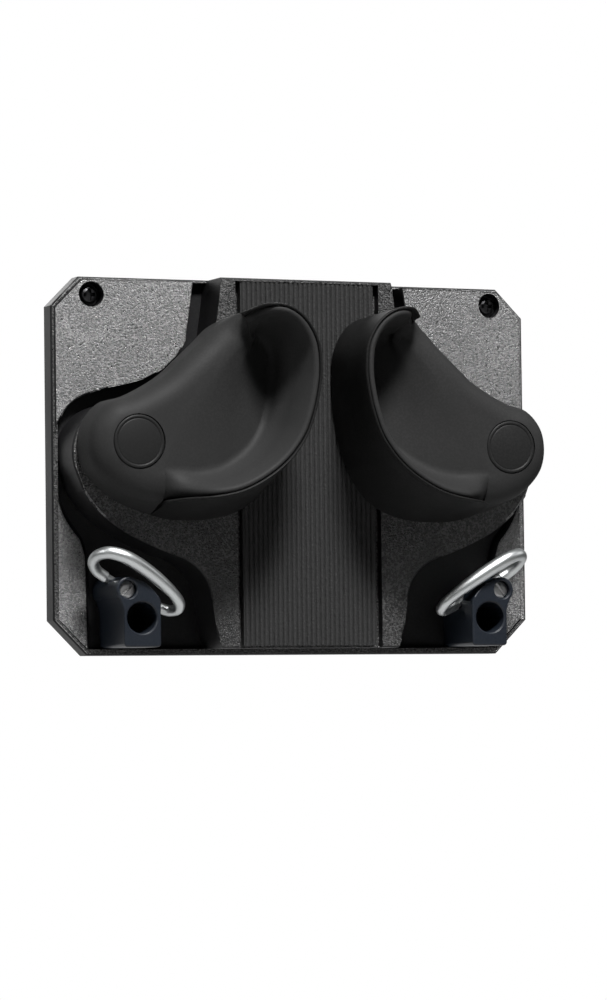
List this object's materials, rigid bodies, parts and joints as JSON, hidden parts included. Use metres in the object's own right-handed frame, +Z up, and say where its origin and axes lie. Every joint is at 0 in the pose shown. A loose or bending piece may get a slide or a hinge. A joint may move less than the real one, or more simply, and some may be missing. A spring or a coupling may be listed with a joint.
{
  "type": "ski wall rack",
  "caption": "Wall plate whose swinging rubber-lined arms pinch skis over a ribbed channel, with bored pole posts and hinged strap loops below.",
  "frame": {"origin": "centre of the wall plate's flat back face, which lies on the wall", "axes": "+Y into the wall, so the rack's front faces -Y; +Z up; +X to the viewer's right"},
  "size_m": [0.254, 0.1034, 0.184],
  "materials": {
    "plate_plastic": "fine moulded grain",
    "pad_rubber": "ribbed",
    "arm_rubber": "smooth matte",
    "grip_rubber": "smooth matte",
    "cap_plastic": "satin",
    "post_plastic": "satin",
    "post_steel": "bright plated",
    "loop_aluminium": "satin, polished",
    "black_steel": "black coated",
    "pivot_steel": "zinc plated",
    "pivot_nylon": "natural nylon"
  },
  "bodies": {
    "base": {"base_plate": "plate_plastic", "channel_pad": "pad_rubber", "left_pole_post": "post_plastic", "left_post_screw": "post_steel", "left_pivot_bolt": "pivot_steel", "left_thrust_washer": "pivot_nylon", "left_arm_bushing": "pivot_nylon", "left_front_washer": "pivot_steel", "left_lock_nut": "pivot_steel", "right_pole_post": "post_plastic", "right_post_screw": "post_steel", "right_pivot_bolt": "pivot_steel", "right_thrust_washer": "pivot_nylon", "right_arm_bushing": "pivot_nylon", "right_front_washer": "pivot_steel", "right_lock_nut": "pivot_steel", "upper_left_wall_screw": "black_steel", "upper_left_washer": "black_steel", "upper_right_wall_screw": "black_steel", "upper_right_washer": "black_steel", "lower_left_wall_screw": "black_steel", "lower_left_washer": "black_steel", "lower_right_wall_screw": "black_steel", "lower_right_washer": "black_steel"},
    "left_arm": {"left_arm": "arm_rubber", "left_grip_pad": "grip_rubber", "left_pivot_cap": "cap_plastic"},
    "left_loop": {"left_strap_loop": "loop_aluminium"},
    "right_arm": {"right_arm": "arm_rubber", "right_grip_pad": "grip_rubber", "right_pivot_cap": "cap_plastic"},
    "right_loop": {"right_strap_loop": "loop_aluminium"}
  },
  "joints": [
    {"name": "left_arm_hinge", "type": "hinge", "parent": "base", "child": "left_arm", "pos_m": [-0.0985, 0, 0.0092], "axis": [0, -1, 0], "range_deg": [-25, 60]},
    {"name": "left_loop_hinge", "type": "hinge", "parent": "base", "child": "left_loop", "pos_m": [-0.0929, -0.024, -0.0613], "axis": [-0.8829, 0, 0.4695], "range_deg": [-7, 50]},
    {"name": "right_arm_hinge", "type": "hinge", "parent": "base", "child": "right_arm", "pos_m": [0.0985, 0, 0.0092], "axis": [0, 1, 0], "range_deg": [-25, 60]},
    {"name": "right_loop_hinge", "type": "hinge", "parent": "base", "child": "right_loop", "pos_m": [0.0929, -0.024, -0.0613], "axis": [-0.8829, 0, -0.4695], "range_deg": [-7, 50]}
  ]
}
